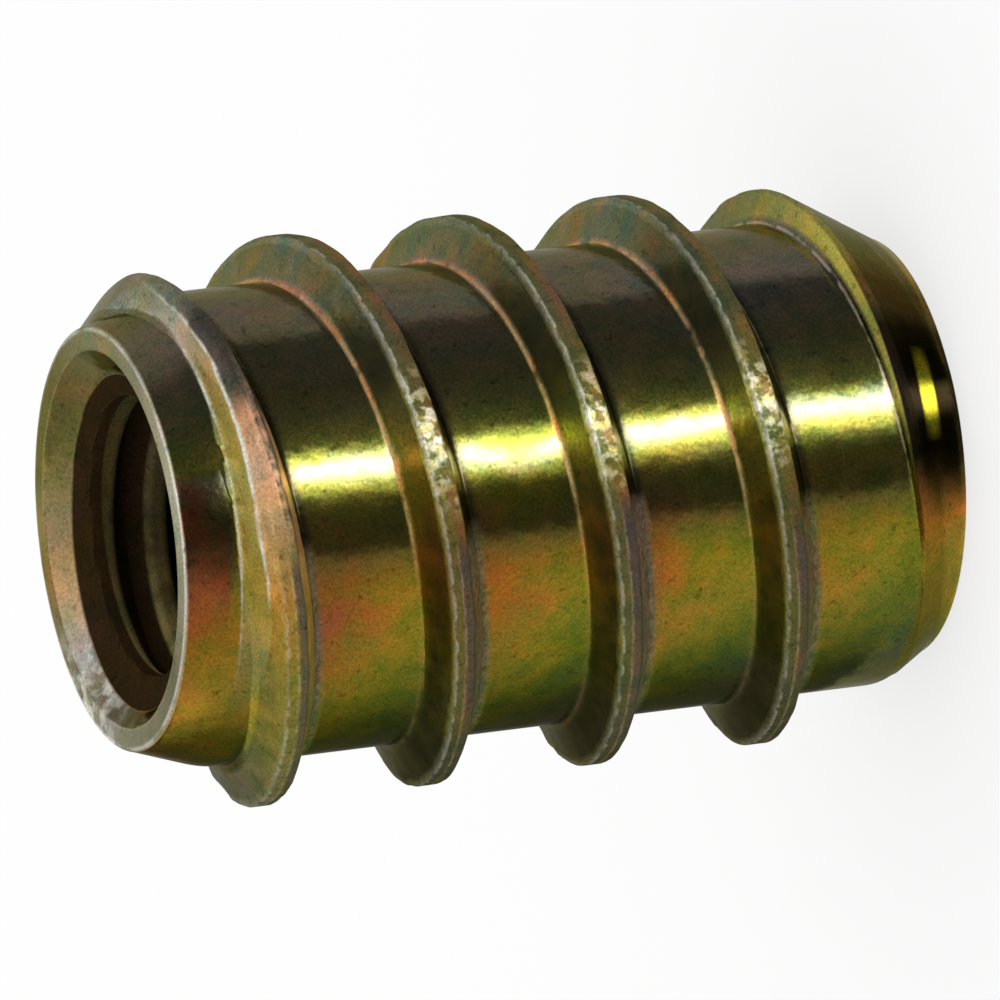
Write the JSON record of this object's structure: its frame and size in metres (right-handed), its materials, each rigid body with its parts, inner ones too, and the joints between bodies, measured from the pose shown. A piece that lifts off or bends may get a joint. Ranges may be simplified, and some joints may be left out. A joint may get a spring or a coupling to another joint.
{
  "type": "threaded insert",
  "caption": "Short steel barrel with a coarse outer wood thread, an inner machine screw thread and a hexagon socket at one end.",
  "frame": {"origin": "middle of the drive end face, which the insert stands on", "axes": "+Z along the axis towards the lead end, +X through a corner of the hexagon socket"},
  "size_m": [0.01, 0.01, 0.0148],
  "materials": {
    "plated_steel": "yellow iridescent zinc plating, satin"
  },
  "bodies": {
    "root": {"insert": "plated_steel"}
  },
  "joints": []
}
